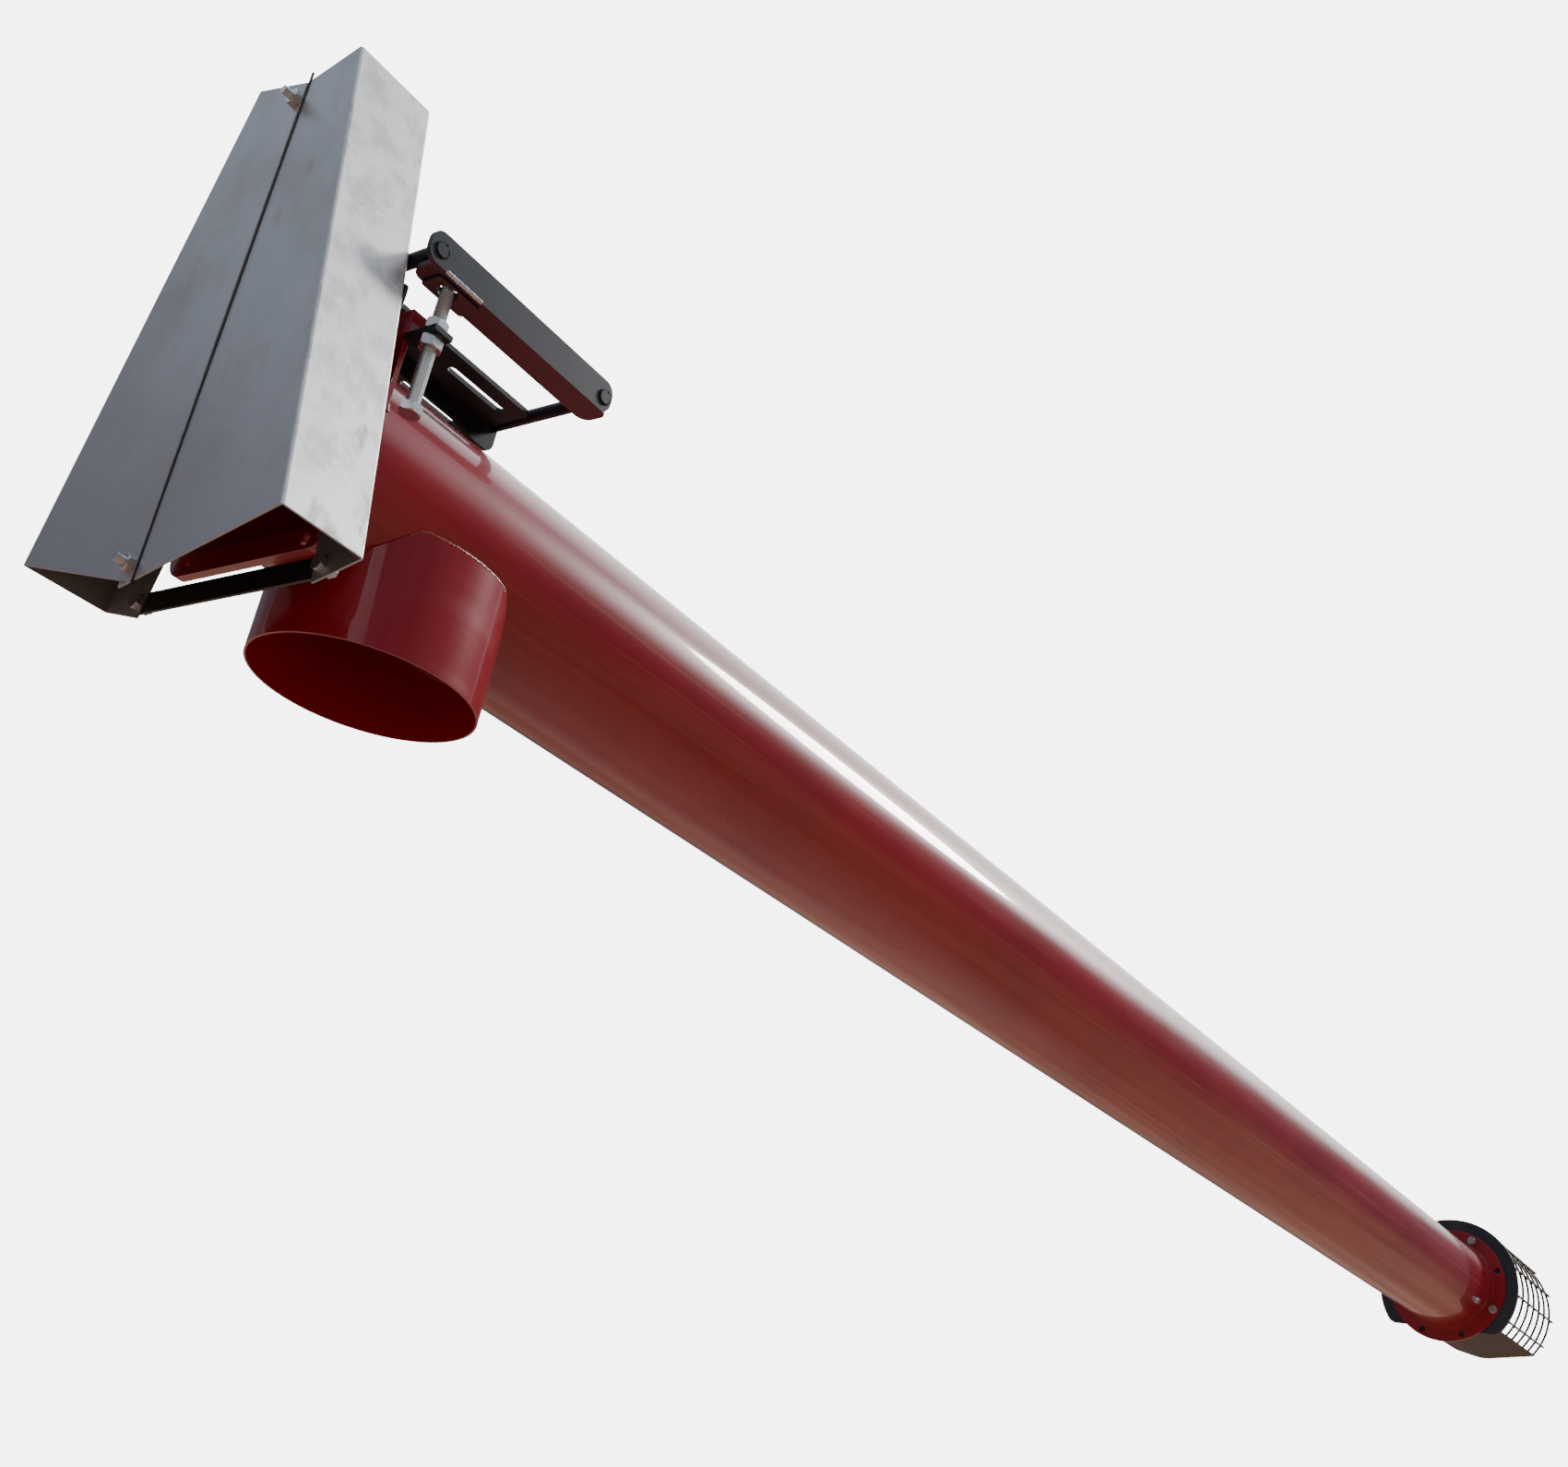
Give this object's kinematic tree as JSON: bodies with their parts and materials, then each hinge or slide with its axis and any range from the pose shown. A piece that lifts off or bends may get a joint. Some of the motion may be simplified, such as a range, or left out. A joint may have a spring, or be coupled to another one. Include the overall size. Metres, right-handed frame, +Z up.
{
  "type": "grain auger",
  "caption": "Long tubular grain auger with a caged intake, a down-facing discharge spout, a belt-drive guard and a tilting motor mount at the head.",
  "frame": {"origin": "centre of the discharge spout's open rim", "axes": "+X along the tube towards the drive head, +Z up, away from the spout's mouth, so the tube's axis is 163.5 mm above the origin"},
  "size_m": [3.978, 0.3602, 0.5152],
  "materials": {
    "red_paint": "satin",
    "slate_paint": "satin",
    "black_paint": "matte",
    "guard_sheet": "satin",
    "zinc": "satin",
    "wire": "satin",
    "bare_steel": "satin",
    "casting": "matte",
    "bronze": "satin"
  },
  "bodies": {
    "housing": {"auger_tube": "red_paint", "discharge_spout": "red_paint", "spout_lip": "red_paint", "head_plate": "red_paint", "head_bar": "red_paint", "head_bearing_housing": "casting", "head_bearing_bolts": "zinc", "guard_half_left": "guard_sheet", "guard_half_right": "guard_sheet", "guard_strap_lower": "black_paint", "guard_strap_upper": "black_paint", "guard_studs": "zinc", "guard_nuts": "zinc", "guard_standoffs": "zinc", "jack_post": "red_paint", "jack_lug": "slate_paint", "jack_lug_nuts": "zinc", "hinge_ears": "slate_paint", "hinge_pin": "zinc", "intake_flange": "red_paint", "intake_collar": "red_paint", "intake_plate": "slate_paint", "flange_bolts": "zinc", "flange_nuts": "zinc", "tube_stud": "zinc", "intake_tray": "black_paint", "cage_hoops": "wire", "cage_bars": "wire", "tail_hanger": "slate_paint", "tail_bush": "bronze"},
    "auger": {"screw_pipe": "bare_steel", "tail_flights": "bare_steel", "middle_flights": "bare_steel", "head_flights": "bare_steel", "head_stub_shaft": "bare_steel", "tail_stub_shaft": "bare_steel", "stub_bolts": "zinc", "head_bearing_insert": "bare_steel", "drive_sheave": "casting", "sheave_bush": "casting", "sheave_key": "bare_steel"},
    "motor_mount": {"near_rail": "slate_paint", "cross_rods": "slate_paint", "motor_plate": "slate_paint", "plate_rib": "slate_paint", "jack_patch": "slate_paint", "hinge_barrels": "slate_paint"},
    "jack": {"jack_bolt": "zinc", "jack_end_nuts": "zinc"}
  },
  "joints": [
    {"name": "auger_spin", "type": "hinge", "parent": "housing", "child": "auger", "pos_m": [0.2, 0, 0.1635], "axis": [1, 0, 0], "continuous": true},
    {"name": "mount_tilt", "type": "hinge", "parent": "housing", "child": "motor_mount", "pos_m": [0.05, -0.1168, 0.3235], "axis": [1, 0, 0], "range_deg": [-3, 6]},
    {"name": "jack_slide", "type": "slide", "parent": "housing", "child": "jack", "axis": [0, 0, 1], "range_m": [-0.0128, 0.0256]}
  ],
  "couplings": [
    {"joint": "jack_slide", "follows": "mount_tilt", "m_per_rad": 0.2428}
  ]
}
